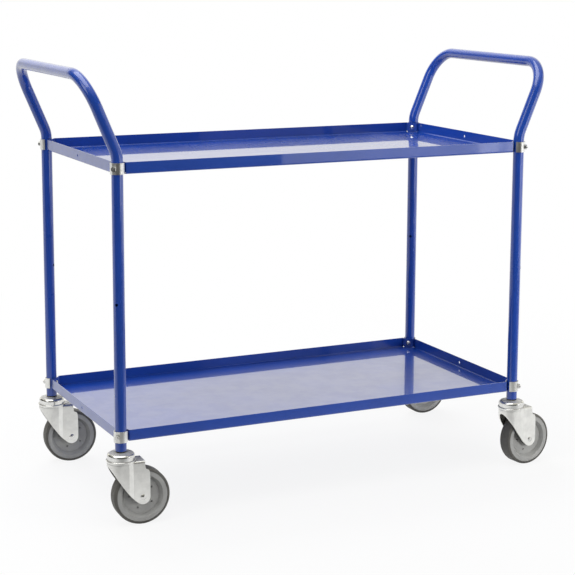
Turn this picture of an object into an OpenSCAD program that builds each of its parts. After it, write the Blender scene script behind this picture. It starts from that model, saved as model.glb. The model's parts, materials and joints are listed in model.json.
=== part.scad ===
// Two-shelf trolley: two bent-tube end frames carry two folded-sheet shelves
// and stand on four swivel castors. Millimetres, +Z up, the length runs along X.
// The origin lies on the ground under the middle of the overall length and width.

/* [Shelves] */
// Length of a shelf over its lips
shelf_l = 1000; // [700:10:1300]
// Width of a shelf over its lips
shelf_w = 500; // [380:10:650]
// Height of the lips round a shelf
lip_h = 25; // [20:0.5:40]
// Sheet thickness of a shelf
sheet_t = 1.5; // [1:0.1:2]
// Inside radius of the fold between floor and lip
fold_r = 2; // [1:0.25:3]
// Height from the lower shelf to the upper one
shelf_pitch = 575; // [400:5:650]
// Diameter of the hole in the middle of each end lip
lip_hole_d = 6; // [4:0.5:8]
// Width of the slit where a corner tab meets a lip
slit_w = 1; // [0.6:0.1:2]
// Diameter of the relief hole at the foot of a slit
relief_d = 4; // [3:0.5:6]

/* [End frames] */
// Outside diameter of the frame tube
tube_d = 25; // [22:0.5:30]
// Wall of the frame tube
tube_wall = 1.5; // [1:0.1:2.5]
// How far a leg's axis stands inside the shelf's outer faces
leg_inset = 5; // [4:0.5:8]
// Length of a leg below the lower shelf
leg_stub = 19; // [12:1:60]
// Height of the grip's axis above the upper shelf's lip
grip_rise = 181; // [160:1:260]
// Lean of the handles away from the load, in degrees
handle_lean = 23; // [10:1:35]
// Height of the straight leg above the upper shelf's lip
lean_rise = 2; // [1:0.5:10]
// Axis radius of the bend where a handle starts to lean
lean_r = 62; // [40:1:100]
// Axis radius of the bend at each end of a grip
corner_r = 72; // [45:1:110]
// How far a face is drawn in where it runs smoothly into another
bend_draw = 0.05; // [0.02:0.01:0.1]
// Length of a bend's end that laps into the straight tube
bend_lap = 0.5; // [0.3:0.1:1]
// Diameter of the spare shelf hole halfway between the shelves
leg_hole_d = 6.5; // [5:0.5:9]

/* [Clamps and bolts] */
// Wall of a clamp
clamp_t = 2.5; // [1.5:0.25:4]
// Height of a clamp
clamp_h = 24; // [16:0.5:25]
// How far a clamp's cheeks pass the leg's axis
clamp_reach = 3; // [1:0.5:5]
// Depth of the flat that the nut seats on
clamp_flat_cut = 0.7; // [0.3:0.1:1]
// Diameter of a shelf bolt
bolt_d = 6; // [4:0.5:8]
// Diameter of a shelf bolt's domed head
bolt_head_d = 11.5; // [10:0.5:14]
// Height of a shelf bolt's domed head
bolt_head_h = 3.3; // [2:0.1:5]
// Width of a shelf nut across its flats
nut_af = 10; // [9:0.5:13]
// Height of a shelf nut
nut_h = 5; // [4:0.5:8]
// Length of thread past a nut
thread_end = 2; // [1:0.5:5]

/* [Castor wheels] */
// Diameter of a wheel over its tread
wheel_d = 125; // [100:1:160]
// Width of a tyre
tyre_w = 34; // [28:0.5:35]
// Thickness of a tyre
tyre_t = 5.5; // [4:0.5:8]
// Width of a wheel's rim
rim_w = 33; // [26:0.5:34]
// Width of the flat ring on each face of a rim
rim_ring = 10; // [6:0.5:14]
// Width of the slope between that ring and the web
rim_slope = 7; // [3:0.5:10]
// Bevel at the outer edge of a rim
rim_bevel = 1; // [0.5:0.25:1.5]
// Thickness of a wheel's web
web_t = 16; // [10:0.5:20]
// Diameter of a wheel's hub
hub_d = 32; // [24:0.5:40]
// Count of small pits on each face of the web
pit_count = 5; // [3:1:8]
// Diameter of a pit
pit_d = 4.5; // [3:0.5:6]
// Depth of a pit
pit_depth = 2; // [1:0.5:4]
// Diameter of the axle bolts
axle_d = 8; // [6:0.5:10]
// Outside diameter of the sleeve that a wheel turns on
sleeve_d = 12; // [11.5:0.5:16]
// Wall of the bush pressed into a wheel
bush_t = 2; // [1:0.25:3]

/* [Castor forks] */
// How far a wheel trails behind its swivel axis
trail = 42; // [30:1:50]
// Sheet thickness of a fork
fork_t = 3; // [2:0.25:4]
// Gap between a fork's cheeks at the axle
fork_gap = 38; // [36:0.5:46]
// How far each cheek steps outwards in front of its crease
fork_flare = 3.5; // [2:0.5:5]
// Gap between a wheel's tread and the crown above it
crown_gap = 15; // [13:0.5:25]
// Radius of the crown under the swivel head
crown_r = 30.5; // [27:0.5:34]
// Outside radius of the bend between crown and cheek
crown_bend = 5; // [4:0.5:8]
// Radius of a cheek's lower end round the axle
lobe_r = 16; // [13:0.5:20]
// Angle under the axle where a cheek's front edge runs into that end
lobe_angle = 55; // [30:1:80]
// How far the rounded front lies ahead of the swivel axis
fork_nose = 31; // [30.5:0.5:36]
// Height of the rolled edge at the very front
fork_lip = 6; // [5.5:0.5:12]
// Length over which a cheek's front edge sweeps into the lower end
fork_sweep = 32; // [20:1:40]
// Height of a cheek's upright back edge above the axle
fork_heel = 44; // [30:1:50]
// How far the back edge steps in on its way up to the crown
fork_tail = 11; // [4:0.5:14]
// Length of the upright back edge under the crown
fork_neck = 4; // [4:1:20]
// Diameter of the axle's head
axle_head_d = 13; // [12:0.5:18]
// Height of the axle's head
axle_head_h = 2.5; // [1.5:0.25:5]
// Width of an axle nut across its flats
axle_nut_af = 13; // [12:0.5:17]
// Height of an axle nut
axle_nut_h = 6.5; // [5:0.5:10]

/* [Swivel heads] */
// Height of a swivel head
head_h = 19.1; // [15:0.1:26]
// Radius of the dome
dome_r = 30; // [27:0.5:31]
// Radius of the dome's rounded shoulder
dome_shoulder = 6; // [3:0.5:9]
// Fall of the dome's top from the collar to the shoulder, in degrees
dome_fall = 9; // [3:1:15]
// Radius of the flange at the dome's foot
flange_r = 32.5; // [32:0.5:36]
// Thickness of that flange
flange_t = 3; // [2:0.25:5]
// Diameter of the kingpin in the crown
pin_d = 12; // [10:0.5:14]
// Diameter of the kingpin's lower head
pin_head_d = 24; // [20:0.5:30]
// Height of the kingpin's lower head
pin_head_h = 4; // [3:0.25:6]
// Diameter of the stem inside the leg
stem_d = 10; // [6:0.5:12]
// Diameter of a bearing ball
ball_d = 6; // [4:0.25:8]
// Count of bearing balls in a swivel head
ball_count = 12; // [6:1:14]
// Radius of the ring of balls
race_r = 20; // [18:0.5:22]
// Height of the collar between swivel head and leg
collar_h = 2.5; // [2:0.5:8]
// How far the collar stands back from the tube's outside
collar_step = 0.8; // [0.3:0.1:1]

/* [Clearances] */
// Gap between a leg and the sheet or clamp that seats on it
tube_seat = 0.15; // [0.1:0.05:0.3]
// Clearance round a bolt, on the radius
bolt_clear = 0.25; // [0.1:0.05:0.5]
// Radial clearance of a piece that is fixed in another
fixed_clear = 0.05; // [0.02:0.01:0.1]
// Radial clearance of a turning fit
run_clear = 0.06; // [0.03:0.01:0.1]
// Gap between turning faces
face_gap = 0.4; // [0.3:0.05:0.8]
// Gap between a wheel's hub and each cheek
hub_gap = 0.6; // [0.3:0.1:1]
// Gap between a bearing ball and the race above it
ball_gap = 0.3; // [0.2:0.05:0.4]
// Gap between an expander plug and the bolt above it
plug_gap = 2; // [1:0.5:4]
// How far a stem ends inside its plug
stem_back = 1.5; // [0.5:0.5:3]

/* [Rest pose] */
// Turn of the front left castor, in degrees
turn_fl = -3; // [-180:1:180]
// Turn of the back left castor, in degrees
turn_bl = -5; // [-180:1:180]
// Turn of the front right castor, in degrees
turn_fr = 6; // [-180:1:180]
// Turn of the back right castor, in degrees
turn_br = 0; // [-180:1:180]

/* [Hidden] */
$fn = 64;
overcut = 1;
tube_r = tube_d / 2;
bore_r = tube_r - tube_wall;
leg_x = shelf_l / 2 - leg_inset;
leg_y = shelf_w / 2 - leg_inset;
bolt_rise = lip_h / 2;
bolt_hole_d = bolt_d + 2 * bolt_clear;
turns = [[turn_fl, turn_bl], [turn_fr, turn_br]];

// Heights, from the ground up
axle_z = wheel_d / 2;
crown_z = wheel_d + crown_gap + fork_t;
head_foot_z = crown_z + face_gap;
head_z = head_foot_z + head_h;
leg_foot_z = head_z + collar_h;
low_shelf_z = leg_foot_z + leg_stub;
plug_top_z = low_shelf_z + bolt_rise - bolt_hole_d / 2 - plug_gap;
top_shelf_z = low_shelf_z + shelf_pitch;
spare_hole_z = low_shelf_z + bolt_rise + shelf_pitch / 2;
grip_z = top_shelf_z + lip_h + grip_rise;

// Handle: lean bend, straight lean, corner bend, grip
lean_z = top_shelf_z + lip_h + lean_rise;
lean_dx = lean_r * (1 - cos(handle_lean));
lean_dz = lean_r * sin(handle_lean);
lean_reach = (grip_z - lean_z - lean_dz) / cos(handle_lean);
lean_l = lean_reach - corner_r;
overhang = lean_dx + lean_reach * sin(handle_lean);

// Shelf corner: the tab lies square to the diagonal and seats on the leg
seat_r = tube_r + tube_seat;
corner_reach = sqrt(2) * seat_r;
lip_end = leg_inset + corner_reach;
fold_o = fold_r + sheet_t;

// Clamp
clamp_i = seat_r;
clamp_o = clamp_i + clamp_t;
clamp_flat = clamp_o - clamp_flat_cut;

// Castor
cheek_y = fork_gap / 2 + fork_t;
flare_y = cheek_y + fork_flare;
crease_u = trail / 2;
ramp_u = crease_u - 3 * fork_flare;
front_u = flare_y - fork_nose;
past_fork = 2 * flare_y;
ball_z = crown_z + fixed_clear + ball_d / 2;
pin_head_z = crown_z - fork_t - face_gap - pin_head_h;
rim_r = wheel_d / 2 - tyre_t;
dish_r = rim_r - rim_ring;
bush_r = sleeve_d / 2 + run_clear;
hub_bore_r = bush_r + bush_t + fixed_clear;
hub_w = fork_gap - 2 * hub_gap;
pit_r = (hub_d / 2 + dish_r - rim_slope) / 2;

// The wheels at the right end and the grip at the left end set the overall length
origin_x = (leg_x + overhang + tube_r - (leg_x + trail + wheel_d / 2)) / 2;

blue = [0.14, 0.23, 0.52];
zinc = [0.74, 0.74, 0.72];
bright = [0.85, 0.85, 0.84];
grey = [0.46, 0.46, 0.45];
dark_grey = [0.38, 0.38, 0.37];
black = [0.08, 0.08, 0.08];

// A corner is named by its end (0 left, 1 right) and its side (0 front, 1 back)
front_left = [0, 0];
back_left = [0, 1];
front_right = [1, 0];
back_right = [1, 1];
corners = [front_left, back_left, front_right, back_right];

function side_of(flag) = 2 * flag - 1;
function bezier(a, b, c, steps = 12) =
    [for (i = [0:steps]) let (t = i / steps) a * (1 - t) * (1 - t) + b * 2 * t * (1 - t) + c * t * t];
function arc(centre, r, from, to, steps = 12) =
    [for (i = [0:steps]) let (w = from + (to - from) * i / steps) centre + r * [cos(w), sin(w)]];

// Puts a child at a leg, its +X turned along the diagonal towards the shelf's middle
module at_leg(corner) {
    translate([origin_x, 0, 0])
        mirror([corner[0], 0, 0])
            mirror([0, corner[1], 0])
                translate([-leg_x, -leg_y, 0])
                    rotate([0, 0, 45])
                        children();
}

// Puts a child on a castor's swivel axis, its +X turned along the trail
module at_castor(corner) {
    translate([origin_x + side_of(corner[0]) * leg_x, side_of(corner[1]) * leg_y, 0])
        rotate([0, 0, turns[corner[0]][corner[1]]])
            children();
}

// Puts a child at a castor's wheel, its +Z along the axle
module at_axle(corner) {
    at_castor(corner)
        translate([trail, 0, axle_z])
            rotate([90, 0, 0])
                children();
}

// Straight tube along Z
module pipe(length) {
    linear_extrude(length)
        difference() {
            circle(r = tube_r);
            circle(r = bore_r);
        }
}

// Bent tube; its wall draws in and laps into the straight tube at each end
module elbow(bend_r, turn) {
    lap = bend_lap / bend_r * 180 / PI;
    rotate_extrude(angle = turn + 2 * lap, start = -lap)
        translate([bend_r, 0])
            difference() {
                circle(r = tube_r - bend_draw);
                circle(r = bore_r + bend_draw);
            }
}

// One leg, its lean and the corner up to the grip
module leg_run() {
    translate([0, -leg_y, leg_foot_z])
        pipe(lean_z - leg_foot_z);
    translate([lean_r, -leg_y, lean_z])
        rotate([90, 0, 180])
            elbow(lean_r, handle_lean);
    translate([lean_dx, -leg_y, lean_z + lean_dz])
        rotate([0, handle_lean, 0]) {
            pipe(lean_l);
            translate([0, corner_r, lean_l])
                rotate([90, 0, -90])
                    elbow(corner_r, 90);
        }
}

// One end frame, drawn for the right end
module end_frame() {
    grip_l = 2 * (leg_y - corner_r);
    difference() {
        union() {
            leg_run();
            mirror([0, 1, 0])
                leg_run();
            translate([overhang, grip_l / 2, grip_z])
                rotate([90, 0, 0])
                    pipe(grip_l);
        }
        for (side = [-1, 1])
            translate([0, side * leg_y, 0])
                rotate([0, 0, side * 45]) {
                    for (z = [low_shelf_z, top_shelf_z])
                        cross_hole(bolt_hole_d, z + bolt_rise);
                    cross_hole(leg_hole_d, spare_hole_z);
                }
    }
}

// A hole straight through a leg, along the child's X
module cross_hole(d, z) {
    translate([-tube_d, 0, z])
        rotate([0, 90, 0])
            cylinder(d = d, h = 2 * tube_d);
}

module left_end_frame() {
    color(blue)
        translate([origin_x - leg_x, 0, 0])
            mirror([1, 0, 0])
                end_frame();
}

module right_end_frame() {
    color(blue)
        translate([origin_x + leg_x, 0, 0])
            end_frame();
}

// Section of a lip and its fold; X runs inwards, Y upwards
module lip_section() {
    translate([0, fold_o])
        square([sheet_t, lip_h - fold_o]);
    intersection() {
        square(fold_o);
        translate([fold_o, fold_o])
            difference() {
                circle(r = fold_o);
                circle(r = fold_r);
            }
    }
}

module lip(length, reach) {
    translate([-length / 2, -reach, 0])
        rotate([90, 0, 90])
            linear_extrude(length)
                lip_section();
}

// Repeats a child at the four legs, its +X and +Y turned inwards
module each_corner() {
    for (corner = corners)
        mirror([corner[0], 0, 0])
            mirror([0, corner[1], 0])
                translate([-leg_x, -leg_y, 0])
                    children();
}

// Floor with its four corners cut back to the middle of the tabs' sheet
module floor_sheet() {
    past = leg_inset + overcut;
    under_tab = sheet_t / sqrt(2);
    linear_extrude(sheet_t)
        difference() {
            square([shelf_l - 2 * fold_o, shelf_w - 2 * fold_o], center = true);
            each_corner()
                polygon([
                    [-past, -past], [corner_reach, -past], [corner_reach, under_tab],
                    [under_tab, corner_reach], [-past, corner_reach]
                ]);
        }
}

// The tab that seats on a leg, and the returns at the ends of the two lips beside it
module corner_walls() {
    tab_l = sqrt(2) * corner_reach - 2 * slit_w;
    rotate([0, 0, 45])
        translate([seat_r, -tab_l / 2, 0])
            cube([sheet_t, tab_l, lip_h]);
    translate([corner_reach, -leg_inset, fold_o])
        cube([sheet_t, leg_inset - slit_w / 2, lip_h - fold_o]);
    translate([-leg_inset, corner_reach, fold_o])
        cube([leg_inset - slit_w / 2, sheet_t, lip_h - fold_o]);
}

module corner_cuts() {
    for (p = [[corner_reach, 0], [0, corner_reach]])
        translate([p[0], p[1], -overcut])
            cylinder(d = relief_d, h = overcut + fold_o);
    rotate([0, 0, 45])
        translate([seat_r - overcut, 0, bolt_rise])
            rotate([0, 90, 0])
                cylinder(d = bolt_hole_d, h = sheet_t + 2 * overcut);
}

module shelf() {
    difference() {
        union() {
            floor_sheet();
            for (turn = [0, 180])
                rotate([0, 0, turn]) {
                    lip(shelf_l - 2 * lip_end, shelf_w / 2);
                    rotate([0, 0, 90])
                        lip(shelf_w - 2 * lip_end, shelf_l / 2);
                }
            each_corner()
                corner_walls();
        }
        each_corner()
            corner_cuts();
        translate([0, 0, bolt_rise])
            rotate([0, 90, 0])
                cylinder(d = lip_hole_d, h = shelf_l + 2 * overcut, center = true);
    }
}

module top_shelf() {
    color(blue)
        translate([origin_x, 0, top_shelf_z])
            shelf();
}

module low_shelf() {
    color(blue)
        translate([origin_x, 0, low_shelf_z])
            shelf();
}

// Saddle that holds a leg against the shelf's corner tab
module clamp(corner, shelf_z) {
    color(bright)
        at_leg(corner)
            translate([0, 0, shelf_z + bolt_rise])
                difference() {
                    linear_extrude(clamp_h, center = true)
                        clamp_section();
                    rotate([0, -90, 0])
                        cylinder(d = bolt_hole_d, h = clamp_o + overcut);
                }
}

module clamp_section() {
    difference() {
        intersection() {
            union() {
                circle(r = clamp_o);
                translate([0, -clamp_o])
                    square([clamp_reach, 2 * clamp_o]);
            }
            translate([-clamp_flat, -clamp_o])
                square([clamp_flat + clamp_reach, 2 * clamp_o]);
        }
        circle(r = clamp_i);
        translate([0, -clamp_i])
            square([clamp_reach + overcut, 2 * clamp_i]);
    }
}

// Repeats a child at all eight shelf corners, on the bolt's axis
module each_bolt() {
    for (corner = corners, z = [low_shelf_z, top_shelf_z])
        at_leg(corner)
            translate([0, 0, z + bolt_rise])
                children();
}

// A low dome with its flat face down; Z is its axis
module dome(d, h) {
    cap_r = (d * d / 4 + h * h) / (2 * h);
    intersection() {
        translate([0, 0, h - cap_r])
            sphere(r = cap_r);
        cylinder(d = d + overcut, h = h + overcut);
    }
}

module shelf_bolts() {
    head_x = seat_r + sheet_t;
    color(bright)
        each_bolt() {
            translate([head_x, 0, 0])
                rotate([0, 90, 0])
                    dome(bolt_head_d, bolt_head_h);
            translate([head_x, 0, 0])
                rotate([0, -90, 0])
                    cylinder(d = bolt_d, h = head_x + clamp_flat + nut_h + thread_end);
        }
}

module shelf_nuts() {
    color(bright)
        each_bolt()
            translate([-clamp_flat, 0, 0])
                rotate([0, -90, 0])
                    difference() {
                        cylinder(d = nut_af / cos(30), h = nut_h, $fn = 6);
                        translate([0, 0, -overcut])
                            cylinder(r = bolt_d / 2 + fixed_clear, h = nut_h + 2 * overcut);
                    }
}

// Expander in the leg's foot; its collar carries the tube
module plug(corner) {
    color(black)
        at_castor(corner)
            difference() {
                translate([0, 0, head_z]) {
                    cylinder(r = tube_r - collar_step, h = collar_h);
                    cylinder(r = bore_r - fixed_clear, h = plug_top_z - head_z);
                }
                cylinder(r = stem_d / 2 + fixed_clear, h = plug_top_z + overcut);
            }
}

// Domed upper race of the swivel; its top falls towards the rounded shoulder
module head(corner) {
    shoulder_x = dome_r - dome_shoulder;
    fall_z = head_h - (shoulder_x - tube_r) * tan(dome_fall);
    shoulder_z = fall_z - dome_shoulder / cos(dome_fall);
    fall_r = dome_shoulder - bend_draw;
    color(zinc)
        at_castor(corner)
            rotate_extrude()
                translate([0, head_foot_z])
                    difference() {
                        union() {
                            polygon([
                                [0, 0], [shoulder_x, 0], [shoulder_x, shoulder_z],
                                [shoulder_x, shoulder_z] + fall_r * [sin(dome_fall), cos(dome_fall)],
                                [tube_r, head_h], [0, head_h]
                            ]);
                            square([dome_r, shoulder_z]);
                            translate([shoulder_x, shoulder_z])
                                circle(r = dome_shoulder);
                            square([flange_r - flange_t / 2, flange_t]);
                            translate([flange_r - flange_t / 2, flange_t / 2])
                                circle(d = flange_t);
                        }
                        translate([race_r, ball_z - head_foot_z])
                            circle(r = ball_d / 2 + ball_gap);
                        translate([-overcut, -overcut])
                            square([pin_d / 2 + fixed_clear + overcut, head_h + 2 * overcut]);
                        translate([-flange_r, -overcut])
                            square([flange_r, head_h + 2 * overcut]);
                    }
}

// Pin that the fork swivels on, with the stem that the expander grips
module kingpin(corner) {
    color(zinc)
        at_castor(corner) {
            translate([0, 0, pin_head_z])
                cylinder(d = pin_head_d, h = pin_head_h);
            translate([0, 0, pin_head_z])
                cylinder(d = pin_d, h = head_z - pin_head_z);
            translate([0, 0, pin_head_z])
                cylinder(d = stem_d, h = plug_top_z - stem_back - pin_head_z);
        }
}

module balls(corner) {
    color(bright)
        at_castor(corner)
            for (i = [0:ball_count - 1])
                rotate([0, 0, i * 360 / ball_count])
                    translate([race_r, 0, ball_z])
                        sphere(d = ball_d);
}

// Side view of a fork: X along the trail, Y upwards
module fork_outline() {
    axle = [trail, axle_z];
    nose = [-fork_nose - overcut, crown_z - fork_lip];
    lobe_from = 180 + lobe_angle;
    lobe_start = axle + lobe_r * [cos(lobe_from), sin(lobe_from)];
    belly = lobe_start + fork_sweep * [sin(lobe_from), -cos(lobe_from)];
    back_u = trail + lobe_r;
    heel = [back_u, axle_z + fork_heel];
    neck = [back_u - fork_tail, crown_z - fork_neck];
    waist = (heel + neck) / 2;
    polygon(concat(
        bezier(nose, belly, lobe_start),
        arc(axle, lobe_r, lobe_from, 360),
        bezier(heel, [back_u, waist[1]], waist),
        bezier(waist, [neck[0], waist[1]], neck),
        [[neck[0], crown_z], [nose[0], crown_z]]
    ));
}

// Outer edge of one side of the front in plan: flared, then drawn in to the crease
function front_edge(inset) = [
    [front_u, flare_y - inset], [ramp_u, flare_y - inset], [crease_u, cheek_y - inset]
];

// Section of a fork's outside with its rolled upper edges; X across, Y upwards
module fork_section(half) {
    translate([-half, 0])
        square([2 * half, crown_z - crown_bend]);
    translate([crown_bend - half, 0])
        square([2 * (half - crown_bend), crown_z]);
    for (side = [-1, 1])
        translate([side * (half - crown_bend), crown_z - crown_bend])
            circle(r = crown_bend);
}

// Rounded channel behind the crease; X across, Y upwards
module channel_section() {
    difference() {
        fork_section(cheek_y);
        translate([-fork_gap / 2, -overcut])
            square([fork_gap, crown_z - crown_bend + overcut]);
        translate([crown_bend - cheek_y, -overcut])
            square([2 * (cheek_y - crown_bend), crown_z - fork_t + overcut]);
        for (side = [-1, 1])
            translate([side * (cheek_y - crown_bend), crown_z - crown_bend])
                circle(r = crown_bend - fork_t);
    }
}

// The two flared cheeks in front of the crease, with the crown between them
module fork_shoulders() {
    outer = front_edge(0);
    inner = front_edge(fork_t);
    intersection() {
        union() {
            linear_extrude(crown_z)
                for (side = [0, 1])
                    mirror([0, side, 0])
                        polygon(concat(outer, [inner[2], inner[1], inner[0]]));
            translate([0, 0, crown_z - fork_t])
                linear_extrude(fork_t)
                    for (side = [0, 1])
                        mirror([0, side, 0])
                            polygon(concat(outer, [[crease_u, -overcut], [front_u, -overcut]]));
        }
        translate([front_u, 0, 0])
            rotate([90, 0, 90])
                linear_extrude(crease_u - front_u)
                    fork_section(flare_y);
    }
}

// Rounded front that joins the two cheeks: half of a pressed bowl
module fork_front() {
    translate([front_u, 0, 0])
        rotate([0, 0, 90])
            rotate_extrude(angle = 180)
                difference() {
                    fork_section(flare_y);
                    translate([-overcut, -overcut])
                        square([flare_y - fork_t + overcut, crown_z - fork_t + overcut]);
                    translate([-past_fork, -overcut])
                        square([past_fork, crown_z + 2 * overcut]);
                }
}

module fork(corner) {
    color(zinc)
        at_castor(corner)
            difference() {
                union() {
                    intersection() {
                        rotate([90, 0, 0])
                            linear_extrude(2 * past_fork, center = true)
                                fork_outline();
                        union() {
                            fork_front();
                            fork_shoulders();
                            translate([crease_u, 0, 0])
                                rotate([90, 0, 90])
                                    linear_extrude(trail + lobe_r)
                                        channel_section();
                        }
                    }
                    translate([0, 0, crown_z - fork_t])
                        cylinder(r = crown_r, h = fork_t);
                }
                translate([0, 0, crown_z - fork_t - overcut])
                    cylinder(r = pin_d / 2 + run_clear, h = fork_t + 2 * overcut);
                translate([trail, 0, axle_z])
                    rotate([90, 0, 0])
                        cylinder(r = axle_d / 2 + fixed_clear, h = 2 * past_fork, center = true);
            }
}

module axle_bolt(corner) {
    color(bright)
        at_axle(corner) {
            translate([0, 0, cheek_y])
                dome(axle_head_d, axle_head_h);
            translate([0, 0, -cheek_y - axle_nut_h - thread_end])
                cylinder(d = axle_d, h = 2 * cheek_y + axle_nut_h + thread_end);
        }
}

module axle_nut(corner) {
    color(bright)
        at_axle(corner)
            translate([0, 0, -cheek_y - axle_nut_h])
                difference() {
                    cylinder(d = axle_nut_af / cos(30), h = axle_nut_h, $fn = 6);
                    translate([0, 0, -overcut])
                        cylinder(r = axle_d / 2 + fixed_clear, h = axle_nut_h + 2 * overcut);
                }
}

// Spacer that the fork's cheeks are drawn up against
module sleeve(corner) {
    color(bright)
        at_axle(corner)
            ring(sleeve_d / 2, axle_d / 2 + fixed_clear, fork_gap);
}

module bush(corner) {
    color(black)
        at_axle(corner)
            ring(bush_r + bush_t, bush_r, hub_w);
}

module ring(outer, inner, width) {
    difference() {
        cylinder(r = outer, h = width, center = true);
        cylinder(r = inner, h = width + 2 * overcut, center = true);
    }
}

// Half section of a dished wheel: X outwards, Y across the wheel
module rim_section() {
    face = [
        [rim_r, rim_w / 2 - rim_bevel], [rim_r - rim_bevel, rim_w / 2], [dish_r, rim_w / 2],
        [dish_r - rim_slope, web_t / 2], [hub_d / 2, web_t / 2], [hub_d / 2, hub_w / 2],
        [hub_bore_r, hub_w / 2]
    ];
    polygon(concat(face, [for (i = [len(face) - 1:-1:0]) [face[i][0], -face[i][1]]]));
}

module rim(corner) {
    color(dark_grey)
        at_axle(corner)
            difference() {
                rotate_extrude()
                    rim_section();
                for (i = [0:pit_count - 1], side = [0, 1])
                    mirror([0, 0, side])
                        rotate([0, 0, (i + 0.5) * 360 / pit_count])
                            translate([pit_r, 0, web_t / 2 - pit_depth])
                                cylinder(d = pit_d, h = pit_depth + overcut);
            }
}

// Tread with rounded shoulders
module tyre(corner) {
    seat = rim_r + fixed_clear;
    shoulder = wheel_d / 2 - seat;
    color(grey)
        at_axle(corner)
            rotate_extrude()
                intersection() {
                    translate([seat, -tyre_w / 2])
                        square([shoulder, tyre_w]);
                    union() {
                        translate([seat, shoulder - tyre_w / 2])
                            square([shoulder, tyre_w - 2 * shoulder]);
                        for (side = [-1, 1])
                            translate([seat, side * (tyre_w / 2 - shoulder)])
                                circle(r = shoulder);
                    }
                }
}

left_end_frame();
right_end_frame();
top_shelf();
low_shelf();
clamp(front_left, top_shelf_z);  // top_clamp_fl
clamp(back_left, top_shelf_z);  // top_clamp_bl
clamp(front_right, top_shelf_z);  // top_clamp_fr
clamp(back_right, top_shelf_z);  // top_clamp_br
clamp(front_left, low_shelf_z);  // low_clamp_fl
clamp(back_left, low_shelf_z);  // low_clamp_bl
clamp(front_right, low_shelf_z);  // low_clamp_fr
clamp(back_right, low_shelf_z);  // low_clamp_br
shelf_bolts();
shelf_nuts();
plug(front_left);  // plug_fl
head(front_left);  // head_fl
kingpin(front_left);  // kingpin_fl
balls(front_left);  // balls_fl
fork(front_left);  // fork_fl
axle_bolt(front_left);  // axle_bolt_fl
axle_nut(front_left);  // axle_nut_fl
sleeve(front_left);  // sleeve_fl
bush(front_left);  // bush_fl
rim(front_left);  // rim_fl
tyre(front_left);  // tyre_fl
plug(back_left);  // plug_bl
head(back_left);  // head_bl
kingpin(back_left);  // kingpin_bl
balls(back_left);  // balls_bl
fork(back_left);  // fork_bl
axle_bolt(back_left);  // axle_bolt_bl
axle_nut(back_left);  // axle_nut_bl
sleeve(back_left);  // sleeve_bl
bush(back_left);  // bush_bl
rim(back_left);  // rim_bl
tyre(back_left);  // tyre_bl
plug(front_right);  // plug_fr
head(front_right);  // head_fr
kingpin(front_right);  // kingpin_fr
balls(front_right);  // balls_fr
fork(front_right);  // fork_fr
axle_bolt(front_right);  // axle_bolt_fr
axle_nut(front_right);  // axle_nut_fr
sleeve(front_right);  // sleeve_fr
bush(front_right);  // bush_fr
rim(front_right);  // rim_fr
tyre(front_right);  // tyre_fr
plug(back_right);  // plug_br
head(back_right);  // head_br
kingpin(back_right);  // kingpin_br
balls(back_right);  // balls_br
fork(back_right);  // fork_br
axle_bolt(back_right);  // axle_bolt_br
axle_nut(back_right);  // axle_nut_br
sleeve(back_right);  // sleeve_br
bush(back_right);  // bush_br
rim(back_right);  // rim_br
tyre(back_right);  // tyre_br
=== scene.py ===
# %% [markdown]
# # A two-shelf trolley in blue powder coat
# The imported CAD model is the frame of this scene: every solid already sits in its real place, in metres.
# Blender adds what the solids lack, which is paint, plating, rubber, light and a camera.

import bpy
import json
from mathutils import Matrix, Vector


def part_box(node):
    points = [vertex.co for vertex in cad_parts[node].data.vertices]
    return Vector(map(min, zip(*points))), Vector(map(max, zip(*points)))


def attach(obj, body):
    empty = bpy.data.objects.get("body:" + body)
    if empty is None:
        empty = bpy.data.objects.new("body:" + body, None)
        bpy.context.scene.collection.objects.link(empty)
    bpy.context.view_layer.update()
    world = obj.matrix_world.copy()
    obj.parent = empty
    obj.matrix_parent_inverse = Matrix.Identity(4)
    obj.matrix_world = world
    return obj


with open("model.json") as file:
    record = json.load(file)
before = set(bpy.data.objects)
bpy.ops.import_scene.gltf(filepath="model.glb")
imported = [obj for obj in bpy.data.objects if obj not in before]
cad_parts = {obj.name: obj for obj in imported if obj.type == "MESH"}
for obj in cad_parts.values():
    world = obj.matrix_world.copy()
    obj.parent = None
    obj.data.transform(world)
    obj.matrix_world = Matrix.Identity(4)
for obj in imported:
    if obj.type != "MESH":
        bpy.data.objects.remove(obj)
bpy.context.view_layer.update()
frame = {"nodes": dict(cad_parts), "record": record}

import json
import math

import bpy
from mathutils import Matrix, Vector

scene = bpy.context.scene
scene.view_settings.view_transform = "Standard"

# %% [markdown]
# ## Camera
# The photograph was taken from the front left with a long lens, and its uprights are almost parallel.
# A level camera with a strong lens shift would give that exactly, but every other view keeps the shift.
# So the camera tilts a little and takes only a small shift.

# %% Camera
FRAME_PX = 575  # the photograph's width and height
FOCAL_PX = 1606.3  # the focal length in the photograph's pixels
SENSOR_MM = 36
LENS_SHIFT = -0.10
EYE = (-1.6160, -3.3781, 1.1978)
YAW, PITCH, ROLL = (math.radians(a) for a in (25.622, 9.519, 0.240))

ahead = Vector((math.sin(YAW) * math.cos(PITCH), math.cos(YAW) * math.cos(PITCH), -math.sin(PITCH)))
level = Vector((math.cos(YAW), -math.sin(YAW), 0))
above = level.cross(ahead)
right = math.cos(ROLL) * level + math.sin(ROLL) * above
up = math.cos(ROLL) * above - math.sin(ROLL) * level

lens = bpy.data.cameras.new("photo_camera")
lens.sensor_width = SENSOR_MM
lens.lens = FOCAL_PX / FRAME_PX * SENSOR_MM
lens.shift_y = LENS_SHIFT
camera = bpy.data.objects.new("photo_camera", lens)
turn = Matrix((right, up, -ahead)).transposed().to_4x4()
camera.matrix_world = Matrix.Translation(EYE) @ turn
scene.collection.objects.link(camera)
scene.camera = camera
print("lens", round(lens.lens, 1), "mm")

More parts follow.
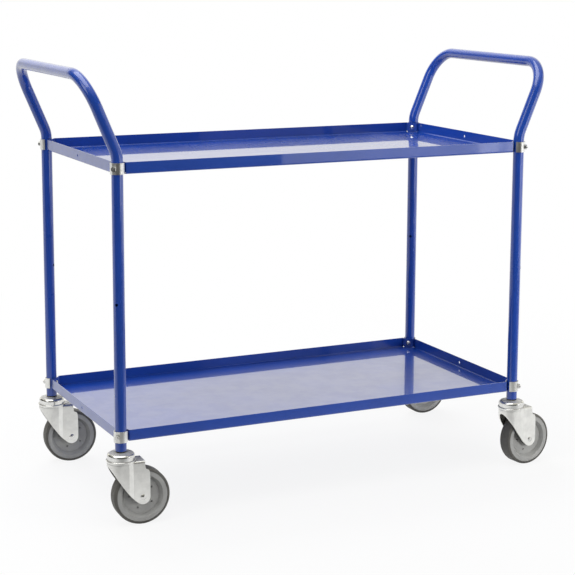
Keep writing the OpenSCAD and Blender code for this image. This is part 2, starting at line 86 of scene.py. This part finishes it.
# %% [markdown]
# ## Node helpers
# Materials are trees of nodes. Each one could be wired by hand, but the same few steps come back everywhere, so
# short helpers take them: empty a tree, add a node, link two sockets, and feed a socket with either a plain
# value or another socket.

# %% Node helpers
def cleared(block):
    """Empties the node tree of a material or a world."""
    block.use_nodes = True
    block.node_tree.nodes.clear()
    return block.node_tree


def add(tree, kind, **settings):
    """Adds a node; settings whose names are inputs go to the sockets, the others to the node."""
    made = tree.nodes.new("ShaderNode" + kind)
    for name, value in settings.items():
        socket = name.replace("_", " ")
        if socket in made.inputs:
            made.inputs[socket].default_value = value
        else:
            setattr(made, name, value)
    return made


def join(tree, out_socket, in_socket):
    tree.links.new(out_socket, in_socket)


def feed(tree, value, in_socket):
    """Links a socket's value, or sets a plain number or colour."""
    if isinstance(value, bpy.types.NodeSocket):
        join(tree, value, in_socket)
    else:
        in_socket.default_value = value


print("helpers ready")

# %% [markdown]
# ## Node sums
# Looks are sums of values that change over a surface. These helpers write such a sum in one line: a calculation,
# a smooth step from one span of values to another, and the mixes of numbers, colours and whole shaders. A Mix
# node keeps its colour sockets behind those for numbers, under the same names, so they are found by place.

# %% Node sums
COLOUR_A, COLOUR_B, COLOUR_OUT = 6, 7, 2


def calc(tree, operation, *values):
    made = add(tree, "Math", operation=operation)
    for value, socket in zip(values, made.inputs):
        feed(tree, value, socket)
    return made.outputs[0]


def remap(tree, value, low, high, to_low, to_high):
    """Maps a value smoothly from one span to another."""
    made = add(tree, "MapRange", interpolation_type="SMOOTHSTEP")
    for name, end in zip(("From Min", "From Max", "To Min", "To Max"), (low, high, to_low, to_high)):
        feed(tree, end, made.inputs[name])
    join(tree, value, made.inputs["Value"])
    return made.outputs["Result"]


def mix_value(tree, amount, base, over):
    made = add(tree, "Mix", data_type="FLOAT")
    for name, value in zip(("Factor", "A", "B"), (amount, base, over)):
        feed(tree, value, made.inputs[name])
    return made.outputs["Result"]


def mix_colour(tree, amount, base, over, blend_type="MIX"):
    made = add(tree, "Mix", data_type="RGBA", blend_type=blend_type)
    for key, value in zip(("Factor", COLOUR_A, COLOUR_B), (amount, base, over)):
        feed(tree, value, made.inputs[key])
    return made.outputs[COLOUR_OUT]


def mix_shader(tree, amount, base, over):
    made = add(tree, "MixShader")
    for value, socket in zip((amount, base, over), made.inputs):
        join(tree, value, socket)
    return made.outputs[0]


print("sums ready")

# %% [markdown]
# ## Floor
# The trolley stands on white paper. The camera sees the sheet as plain white with a soft shadow, because near
# the trolley most of its brightness, and further out all of it, is its own. Shiny parts see bright paper under
# and behind the trolley and a dim studio in front of it: that is why the faces towards the camera stay dark.
# The sheet's front edge runs at a slant, so the right end of the lower shelf's long lip sees more of it than the
# left end does. The sheet throws back only half the light, because too much from below would flatten the shading.

# %% Floor paper
WHITE = (1, 1, 1, 1)
SEEN_GREY, BOUNCE_GREY = (0.85, 0.85, 0.85, 1), (0.50, 0.50, 0.50, 1)
NEAR, FAR = 0.6, 2.2
NEAR_GLOW, FAR_GLOW = 0.88, 1.0
SHEET_SLANT, SHEET_FRONT, SHEET_FULL = 0.14, -1.0, -0.58
DIM, SHEET_WHITE = 0.10, 0.95


def make_paper():
    paper = bpy.data.materials.new("studio_paper")
    tree = cleared(paper)
    where = add(tree, "TexCoord").outputs["Object"]
    away = add(tree, "VectorMath", operation="LENGTH")
    join(tree, where, away.inputs[0])
    own = remap(tree, away.outputs["Value"], NEAR, FAR, NEAR_GLOW, FAR_GLOW)
    split = add(tree, "SeparateXYZ")
    join(tree, where, split.inputs[0])
    slant = calc(tree, "MULTIPLY_ADD", split.outputs["X"], SHEET_SLANT, split.outputs["Y"])
    sheet = remap(tree, slant, SHEET_FRONT, SHEET_FULL, DIM, SHEET_WHITE)
    lit = add(tree, "BsdfDiffuse", Color=SEEN_GREY)
    glow = add(tree, "Emission", Color=WHITE, Strength=1.0)
    bounce = add(tree, "BsdfDiffuse", Color=BOUNCE_GREY)
    mirrored = add(tree, "Emission", Color=WHITE)
    join(tree, sheet, mirrored.inputs["Strength"])
    rays = add(tree, "LightPath")
    seen = mix_shader(tree, own, lit.outputs[0], glow.outputs[0])
    unseen = mix_shader(tree, rays.outputs["Is Glossy Ray"], bounce.outputs[0], mirrored.outputs[0])
    mix = mix_shader(tree, rays.outputs["Is Camera Ray"], unseen, seen)
    join(tree, mix, add(tree, "OutputMaterial").inputs["Surface"])
    return paper


PAPER = make_paper()
print("paper", PAPER.name)

# %% [markdown]
# ## Floor sheet
# One large square is enough for a floor. A plane could be added with an operator, but a mesh from four points
# needs no selection and always comes out the same. It is so wide that its end is never seen.

# %% Floor sheet
def make_floor(half=70):
    corners = [(-half, -half, 0), (half, -half, 0), (half, half, 0), (-half, half, 0)]
    mesh = bpy.data.meshes.new("studio_floor")
    mesh.from_pydata(corners, [], [(0, 1, 2, 3)])
    floor = bpy.data.objects.new("studio_floor", mesh)
    scene.collection.objects.link(floor)
    mesh.materials.append(PAPER)
    return floor


print("floor", make_floor().name)

# %% [markdown]
# ## Surroundings
# Gloss paint shows the room. In the photograph the paint is dark where it faces the camera and pale where it
# mirrors the white backdrop behind the trolley, so shiny surfaces see a room that is white behind and overhead
# and dim elsewhere. The backdrop is a little greyer near the horizon, which the upper shelf mirrors. The camera
# sees plain white everywhere, and soft light comes evenly from all sides.

# %% Surroundings
FILL = 0.20
ROOM_TINT = (1, 0.975, 0.88, 1)
BACKDROP_EDGE, BACKDROP_FULL, BACKDROP_WHITE = 0.50, 0.72, 1.22
HORIZON_LOW, HORIZON_HIGH, HORIZON_GREY = 0.08, 0.22, 0.76
CEILING_EDGE, CEILING_FULL, CEILING_WHITE = 0.35, 0.85, 0.80


def make_room():
    room = bpy.data.worlds.new("studio_room")
    scene.world = room
    tree = cleared(room)
    where = add(tree, "TexCoord").outputs["Generated"]
    facing = add(tree, "VectorMath", operation="DOT_PRODUCT")
    join(tree, where, facing.inputs[0])
    facing.inputs[1].default_value = (math.sin(YAW), math.cos(YAW), 0)
    split = add(tree, "SeparateXYZ")
    join(tree, where, split.inputs[0])
    height = split.outputs["Z"]
    backdrop = remap(tree, facing.outputs["Value"], BACKDROP_EDGE, BACKDROP_FULL, DIM, BACKDROP_WHITE)
    horizon = remap(tree, height, HORIZON_LOW, HORIZON_HIGH, HORIZON_GREY, 1.0)
    overhead = remap(tree, height, CEILING_EDGE, CEILING_FULL, 0.0, CEILING_WHITE)
    mirrored = calc(tree, "MAXIMUM", calc(tree, "MULTIPLY", backdrop, horizon), overhead)
    rays = add(tree, "LightPath")
    glossy = rays.outputs["Is Glossy Ray"]
    direct = calc(tree, "MAXIMUM", rays.outputs["Is Camera Ray"], rays.outputs["Is Transmission Ray"])
    strength = mix_value(tree, direct, mix_value(tree, glossy, FILL, mirrored), 1.0)
    glow = add(tree, "Background")
    join(tree, mix_colour(tree, glossy, WHITE, ROOM_TINT), glow.inputs["Color"])
    join(tree, strength, glow.inputs["Strength"])
    join(tree, glow.outputs[0], add(tree, "OutputWorld").inputs["Surface"])
    return room


print("room", make_room().name)

# %% [markdown]
# ## Softboxes
# Soft lamps do the work: one overhead, one high at the left, one close at the right whose reflection is the
# bright line along the uprights, and three at the front right whose reflections wash out the long lips. The last
# two aren't mirrored: one lights the near right wheel, and one lights the shelf floors from behind. Lamps could
# be set by their power, but then a larger one would look dimmer, so each has a brightness per area instead.

# %% Softboxes
LAMPS = [  # name, place, target, size, brightness, mirrored
    ("overhead_box", (-0.7, -0.1, 3.2), (0, 0, 0.5), (3.0, 2.4), 3.1, True),
    ("left_box", (-3.4, -1.2, 2.3), (0, 0, 0.5), (1.8, 1.8), 2.4, True),
    ("right_box", (2.2, -1.1, 0.9), (0, -0.1, 0.6), (2.4, 1.7), 0.9, True),
    ("front_right_box", (2.00, -3.57, 0.30), (0, -0.25, 0.30), (1.0, 0.6), 1.7, True),
    ("tall_right_box", (2.00, -3.57, 1.20), (0, -0.25, 0.80), (1.0, 1.2), 0.5, True),
    ("low_right_box", (2.90, -3.30, 0.32), (0.4, -0.25, 0.32), (1.0, 0.7), 2.4, True),
    ("wheel_box", (1.50, -2.20, 0.45), (0.5, -0.25, 0.10), (0.8, 0.8), 9.0, False),
    ("back_box", (0.2, 2.6, 2.6), (0, 0, 0.5), (3.0, 1.5), 4.5, False),
]


def softbox(name, place, target, size, glow, mirrored):
    """A rectangular lamp of a given surface brightness, aimed at a point and hidden from the camera."""
    data = bpy.data.lights.new(name, "AREA")
    data.shape = "RECTANGLE"
    data.size, data.size_y = size
    data.energy = glow * math.pi * size[0] * size[1]
    lamp = bpy.data.objects.new(name, data)
    aim = (Vector(target) - Vector(place)).to_track_quat("-Z", "Y")
    lamp.matrix_world = Matrix.Translation(place) @ aim.to_matrix().to_4x4()
    lamp.visible_camera = False
    lamp.visible_glossy = mirrored
    scene.collection.objects.link(lamp)
    return lamp


print("lamps", [softbox(*lamp).name for lamp in LAMPS])

# %% [markdown]
# ## Group helpers
# An effect that several materials share is a node group with named sockets: it is built once and placed with
# other values. Noise gives most effects their unevenness, and nearly all of its values lie in a middle span. It
# is read in the object's own coordinates, so that it moves along when a castor turns.

# %% Group helpers
NOISE_SPAN = (0.3, 0.7)
NOISE_ROUGHNESS = 0.55


def start_group(name, inputs, outputs):
    group = bpy.data.node_groups.new(name, "ShaderNodeTree")
    for label, kind, value in inputs:
        socket = group.interface.new_socket(name=label, in_out="INPUT", socket_type="NodeSocket" + kind)
        socket.default_value = value
    for label, kind in outputs:
        group.interface.new_socket(name=label, in_out="OUTPUT", socket_type="NodeSocket" + kind)
    return group, group.nodes.new("NodeGroupInput"), group.nodes.new("NodeGroupOutput")


def place(tree, group, output, **values):
    """Places a group with its own values and gives one of its outputs."""
    made = add(tree, "Group", node_tree=group)
    for name, value in values.items():
        feed(tree, value, made.inputs[name])
    return made.outputs[output]


def noise(tree, scale, detail, stretch=(1, 1, 1)):
    where = add(tree, "TexCoord")
    pull = add(tree, "Mapping", Scale=stretch)
    join(tree, where.outputs["Object"], pull.inputs["Vector"])
    made = add(tree, "TexNoise", Scale=scale, Detail=detail, Roughness=NOISE_ROUGHNESS)
    join(tree, pull.outputs["Vector"], made.inputs["Vector"])
    return made.outputs["Fac"]


def tint(tree, colour, grey):
    """Multiplies a colour by a grey value."""
    return mix_colour(tree, 1.0, colour, grey, "MULTIPLY")


def total_of(tree, total, *values):
    for value in values:
        total = calc(tree, "ADD", total, value)
    return total


print("group helpers ready")

# %% [markdown]
# ## Edge wear, dust and painted corner shade
# Handled things wear at their edges, and dust lies on their level faces. Their corners are darkened in colour:
# this is painted shade, standing in for the shade that falls there. Worn edges could be painted by hand, but
# three
# masks find these places on any solid: one asks how a rounded edge would turn the surface, one asks how much of
# its surroundings a point sees, and one asks which faces look straight up.

# %% Edge wear, dust and painted corner shade
EDGE_TURNED, EDGE_FLAT = 0.78, 0.98
CORNER_SHUT, CORNER_OPEN = 0.15, 0.85
FACE_TILTED, FACE_LEVEL = 0.80, 0.97
EDGE_SAMPLES, CORNER_SAMPLES = 4, 6


def make_edge_wear():
    """One along sharp edges, nought on flat and softly curved faces."""
    group, given, out = start_group("edge_wear", [("Radius", "Float", 0.001)], [("Mask", "Float")])
    rounded = add(group, "Bevel", samples=EDGE_SAMPLES)
    join(group, given.outputs["Radius"], rounded.inputs["Radius"])
    turned = add(group, "VectorMath", operation="DOT_PRODUCT")
    join(group, rounded.outputs["Normal"], turned.inputs[0])
    join(group, add(group, "NewGeometry").outputs["Normal"], turned.inputs[1])
    mask = remap(group, turned.outputs["Value"], EDGE_TURNED, EDGE_FLAT, 1.0, 0.0)
    join(group, mask, out.inputs["Mask"])
    return group


def make_painted_corner_shade():
    """Painted shade: a grey value that falls in corners tighter than the reach and darkens the colour there."""
    inputs = [("Reach", "Float", 0.01), ("Darkest", "Float", 0.5)]
    group, given, out = start_group("painted_corner_shade", inputs, [("Shade", "Float")])
    # painted shade: the less of its surroundings a point sees, the darker its colour
    hidden = add(group, "AmbientOcclusion", samples=CORNER_SAMPLES)
    join(group, given.outputs["Reach"], hidden.inputs["Distance"])
    shade = remap(group, hidden.outputs["AO"], CORNER_SHUT, CORNER_OPEN, given.outputs["Darkest"], 1.0)
    join(group, shade, out.inputs["Shade"])
    return group


def level_film(tree):
    """The patchy film of dust on faces that look straight up."""
    split = add(tree, "SeparateXYZ")
    join(tree, add(tree, "TexCoord").outputs["Normal"], split.inputs[0])
    upward = remap(tree, split.outputs["Z"], FACE_TILTED, FACE_LEVEL, 0.0, 1.0)
    patchy = remap(tree, noise(tree, scale=160, detail=4), 0.35, 0.65, 0.55, 0.95)
    return calc(tree, "MULTIPLY", upward, patchy)


EDGE_WEAR, PAINTED_CORNER_SHADE = make_edge_wear(), make_painted_corner_shade()
print("masks", EDGE_WEAR.name, PAINTED_CORNER_SHADE.name)

# %% [markdown]
# ## Powder coat
# The tubes and shelves are powder coated: a dust of paint melts on the steel and leaves a faint orange-peel
# ripple. Over an edge the coat is thin, so it is duller there, and the edge is painted paler, partly for the thin
# coat and partly as a painted highlight along the edge. Corners get painted shade. A flat blue would look like
# plastic, so the skin also lets tone and gloss wander a little.

# %% Powder coat
SKIN_OUTPUTS = [("Color", "Color"), ("Roughness", "Float"), ("Height", "Float")]
# the paler blue of sharp edges: partly a thin coat, partly a painted highlight
THIN_COAT_HIGHLIGHT_BLUE = (0.035, 0.120, 0.46, 1)


def make_paint_skin():
    inputs = [("Paint", "Color", (0.02, 0.05, 0.3, 1)), ("Gloss", "Float", 0.3)]
    group, given, out = start_group("paint_skin", inputs, SKIN_OUTPUTS)
    tone = remap(group, noise(group, scale=7, detail=3), *NOISE_SPAN, 0.93, 1.05)
    even = tint(group, given.outputs["Paint"], tone)
    patchy = remap(group, noise(group, scale=140, detail=4), 0.42, 0.62, 0.1, 0.7)
    # paler edges: partly the thin coat, partly a painted highlight along sharp edges
    thin_highlit_edge = calc(group, "MULTIPLY", place(group, EDGE_WEAR, "Mask", Radius=0.0012), patchy)
    worn_and_highlit = mix_colour(group, thin_highlit_edge, even, THIN_COAT_HIGHLIGHT_BLUE)
    # painted shade: darkens the blue in tight corners of the shelves and tubes
    painted_shade = place(group, PAINTED_CORNER_SHADE, "Shade", Reach=0.006, Darkest=0.55)
    join(group, tint(group, worn_and_highlit, painted_shade), out.inputs["Color"])
    wander = remap(group, noise(group, scale=24, detail=4), *NOISE_SPAN, -0.03, 0.04)
    rough = total_of(group, given.outputs["Gloss"], wander, calc(group, "MULTIPLY", thin_highlit_edge, 0.15))
    join(group, rough, out.inputs["Roughness"])
    join(group, noise(group, scale=420, detail=2), out.inputs["Height"])
    return group


PAINT_SKIN = make_paint_skin()
print("skin", PAINT_SKIN.name)

# %% [markdown]
# ## Zinc plate
# Clamps, fasteners and forks are zinc-plated steel. The plating is cloudy, and under it the drawn sheet keeps
# long fine marks, so the noise is squeezed along one axis. Edges are rubbed bright. On level faces the dust film
# hides the metal, so it is less metallic and rougher there: a clean mirror would show the blue shelf above.

# %% Zinc plate
BRIGHT_ZINC = (0.92, 0.92, 0.90, 1)
FILM_GREY = (0.46, 0.455, 0.44, 1)
DRAWN = (1, 1, 14)


def make_plate_skin():
    inputs = [("Metal", "Color", (0.7, 0.7, 0.68, 1)), ("Satin", "Float", 0.3), ("Reach", "Float", 0.01)]
    group, given, out = start_group("plate_skin", inputs, SKIN_OUTPUTS + [("Metallic", "Float")])
    cloud = remap(group, noise(group, scale=55, detail=4), *NOISE_SPAN, 0.90, 1.03)
    clouded = tint(group, given.outputs["Metal"], cloud)
    edge = place(group, EDGE_WEAR, "Mask", Radius=0.0010)
    bright = mix_colour(group, calc(group, "MULTIPLY", edge, 0.6), clouded, BRIGHT_ZINC)
    film = level_film(group)
    filmed = mix_colour(group, film, bright, FILM_GREY)
    # painted shade: darkens the zinc in corners within the material's reach
    painted_shade = place(group, PAINTED_CORNER_SHADE, "Shade", Reach=given.outputs["Reach"], Darkest=0.35)
    join(group, tint(group, filmed, painted_shade), out.inputs["Color"])
    drawn = noise(group, scale=90, detail=3, stretch=DRAWN)
    wander = remap(group, drawn, 0.25, 0.75, -0.06, 0.08)
    rubbed, dulled = calc(group, "MULTIPLY", edge, -0.06), calc(group, "MULTIPLY", film, 0.25)
    rough = total_of(group, given.outputs["Satin"], wander, rubbed, dulled)
    join(group, rough, out.inputs["Roughness"])
    join(group, remap(group, film, 0.0, 1.0, 1.0, 0.0), out.inputs["Metallic"])
    join(group, drawn, out.inputs["Height"])
    return group


PLATE_SKIN = make_plate_skin()
print("skin", PLATE_SKIN.name)

# %% [markdown]
# ## Moulded plastic and rubber
# Rims, tyres, collars and bushes are moulded. Their skin has a fine grain from the mould, and grey dust rubs into
# the edges. The recess of the rim, the groove by the tyre and the disc close to the fork get painted shade, which
# makes the recess look deeper. One skin serves all of them, because only colour, dullness and relief differ.

# %% Moulded plastic and rubber
RUBBED_DUST = (0.42, 0.40, 0.36, 1)


def make_moulded_skin():
    inputs = [("Body", "Color", (0.15, 0.15, 0.15, 1)), ("Dull", "Float", 0.5)]
    group, given, out = start_group("moulded_skin", inputs, SKIN_OUTPUTS)
    cloud = remap(group, noise(group, scale=30, detail=5), *NOISE_SPAN, 0.90, 1.06)
    clouded = tint(group, given.outputs["Body"], cloud)
    edge = place(group, EDGE_WEAR, "Mask", Radius=0.0012)
    dusty = mix_colour(group, calc(group, "MULTIPLY", edge, 0.25), clouded, RUBBED_DUST)
    # painted shade: darkens the colour within 30 mm of other surfaces, as in the rim's recess and beside the fork
    painted_shade = place(group, PAINTED_CORNER_SHADE, "Shade", Reach=0.030, Darkest=0.42)
    join(group, tint(group, dusty, painted_shade), out.inputs["Color"])
    wander = remap(group, noise(group, scale=160, detail=3), *NOISE_SPAN, -0.06, 0.06)
    join(group, total_of(group, given.outputs["Dull"], wander), out.inputs["Roughness"])
    join(group, noise(group, scale=1400, detail=2), out.inputs["Height"])
    return group


MOULDED_SKIN = make_moulded_skin()
print("skin", MOULDED_SKIN.name)

# %% [markdown]
# ## Materials
# Each material is one Principled shader fed by one of the skins. What is the same all over a piece, such as the
# clear coat, is set on the shader itself. What the skin puts out drives colour, roughness and bump.

# %% Materials
SKINS = {  # the group, and its inputs for colour and roughness
    "paint": (PAINT_SKIN, "Paint", "Gloss"),
    "plate": (PLATE_SKIN, "Metal", "Satin"),
    "moulded": (MOULDED_SKIN, "Body", "Dull"),
}
BUMP_STRENGTH = 0.6
FINISHES = {}


def finish(name, skin, colour, rough, relief, shade_reach=None, **sockets):
    """Makes a material; relief is the bump's height in metres."""
    material = bpy.data.materials.new(name)
    tree = cleared(material)
    shader = add(tree, "BsdfPrincipled", **sockets)
    group, colour_name, rough_name = SKINS[skin]
    surface = add(tree, "Group", node_tree=group)
    surface.inputs[colour_name].default_value = (*colour, 1)
    surface.inputs[rough_name].default_value = rough
    # the reach sets how far the painted corner shade spreads
    if shade_reach:
        surface.inputs["Reach"].default_value = shade_reach
    join(tree, surface.outputs["Color"], shader.inputs["Base Color"])
    join(tree, surface.outputs["Roughness"], shader.inputs["Roughness"])
    if "Metallic" in surface.outputs:
        join(tree, surface.outputs["Metallic"], shader.inputs["Metallic"])
    bump = add(tree, "Bump", Strength=BUMP_STRENGTH, Distance=relief)
    join(tree, surface.outputs["Height"], bump.inputs["Height"])
    join(tree, bump.outputs["Normal"], shader.inputs["Normal"])
    join(tree, shader.outputs["BSDF"], add(tree, "OutputMaterial").inputs["Surface"])
    FINISHES[name] = material


print("skins", list(SKINS))

# %% [markdown]
# ## Finishes of the pieces
# The blue is a satin coat under a clear gloss layer: the satin spreads the lamps softly, and the clear layer
# mirrors the room at low angles. One glossy layer alone gave either the mirror or the soft sheen, not both. The
# zinc pieces differ in brightness and polish, as parts from different makers do.

# %% Finishes of the pieces
BLUE = (0.008, 0.062, 0.40)
GLOSS_COAT = {"Coat_Weight": 1.0, "Coat_Roughness": 0.03, "Specular_IOR_Level": 0.38}

finish("frame_paint", "paint", BLUE, 0.30, 0.00001, **GLOSS_COAT)
finish("shelf_paint", "paint", BLUE, 0.32, 0.00001, **GLOSS_COAT)
finish("clamp_zinc", "plate", (0.84, 0.84, 0.81), 0.34, 0.00001)
finish("fastener_zinc", "plate", (0.72, 0.72, 0.70), 0.24, 0.00003)
finish("plug_black", "moulded", (0.015, 0.015, 0.016), 0.5, 0.00005)
# the long reach spreads painted shade over the dome tops under the leg and the shelf
finish("head_zinc", "plate", (0.78, 0.78, 0.76), 0.18, 0.00003, shade_reach=0.035)
finish("pin_steel", "plate", (0.55, 0.55, 0.53), 0.30, 0.00003)
finish("ball_steel", "plate", (0.80, 0.80, 0.80), 0.10, 0.00001)
finish("fork_zinc", "plate", (0.85, 0.85, 0.82), 0.36, 0.00003)
finish("axle_zinc", "plate", (0.70, 0.70, 0.68), 0.24, 0.00003)
finish("bush_nylon", "moulded", (0.05, 0.05, 0.05), 0.45, 0.00004)
finish("rim_grey", "moulded", (0.42, 0.42, 0.405), 0.42, 0.00005)
finish("tyre_grey", "moulded", (0.125, 0.120, 0.108), 0.62, 0.00008)

for part in frame["record"]["subparts"]:
    solid = frame["nodes"][part["node"]]
    solid.data.materials.clear()
    solid.data.materials.append(FINISHES[part["material_slot"]])
print("finishes", list(FINISHES))

# %% [markdown]
# ## Seam beads
# A shelf's corner is cut open so that its lips and the diagonal tab can be folded up. On the real shelf the two
# slits beside the tab look closed, so a thin welded bead runs up each one, and the paint goes over it. It could
# be cut from a cylinder, but a bead laid by hand swells and shrinks, so each one is lofted from rings.

# %% Seam beads
BEAD_R = 0.0013
BEAD_FOOT, BEAD_TOP = 0.0030, 0.0246
BEAD_SIDES, BEAD_RINGS = 10, 15
SWELL, SWELL_WAVES = 0.06, 9
TIP, TIP_SLOPE = 0.25, 8


def bead_radius(t, phase):
    """The radius at a height from nought to one: wavy, and drawn in at both ends."""
    swell = BEAD_R * (1 + SWELL * math.sin(SWELL_WAVES * math.pi * t + phase))
    return swell * math.sqrt(min(1.0, TIP + TIP_SLOPE * min(t, 1 - t)))


def lay_bead(points, faces, x, y, z0, phase):
    """Adds one bead: rings of points, quads between them and a lid at each end."""
    first = len(points)
    for ring in range(BEAD_RINGS):
        t = ring / (BEAD_RINGS - 1)
        radius, z = bead_radius(t, phase), z0 + BEAD_FOOT + t * (BEAD_TOP - BEAD_FOOT)
        for side in range(BEAD_SIDES):
            a = 2 * math.pi * side / BEAD_SIDES
            points.append((x + radius * math.cos(a), y + radius * math.sin(a), z))
    top = first + (BEAD_RINGS - 1) * BEAD_SIDES
    for here in range(first, top, BEAD_SIDES):
        there = here + BEAD_SIDES
        for side in range(BEAD_SIDES):
            after = (side + 1) % BEAD_SIDES
            faces.append((here + side, here + after, there + after, there + side))
    faces.append(tuple(range(first + BEAD_SIDES - 1, first - 1, -1)))
    faces.append(tuple(range(top, top + BEAD_SIDES)))


print("bead of", BEAD_RINGS, "rings")

# %% [markdown]
# ## Corner seams
# Each shelf has four corners with two slits each. The slits lie the same way round every leg, so one offset, used
# along and across and mirrored for the corner, finds all eight. The beads of a shelf are one piece that rides on
# the frame and wears the shelf's paint.

# %% Corner seams
LEG_INSET = 0.005
SLIT = (0.0183, 0.0004)
PHASE_PER_METRE = 40


def seam_beads(shelf):
    low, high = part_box(shelf)
    points, faces = [], []
    for x, inward_x in ((low[0] + LEG_INSET, 1), (high[0] - LEG_INSET, -1)):
        for y, inward_y in ((low[1] + LEG_INSET, 1), (high[1] - LEG_INSET, -1)):
            for along, across in (SLIT, SLIT[::-1]):
                phase = PHASE_PER_METRE * (x + y + along)
                lay_bead(points, faces, x + inward_x * along, y + inward_y * across, low[2], phase)
    mesh = bpy.data.meshes.new(shelf + "_seams")
    mesh.from_pydata(points, [], faces)
    for face in mesh.polygons:
        face.use_smooth = len(face.vertices) == 4
    beads = bpy.data.objects.new(shelf + "_seams", mesh)
    scene.collection.objects.link(beads)
    mesh.materials.append(FINISHES["shelf_paint"])
    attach(beads, "frame")
    return beads


for shelf in ("top_shelf", "low_shelf"):
    print(seam_beads(shelf).name)
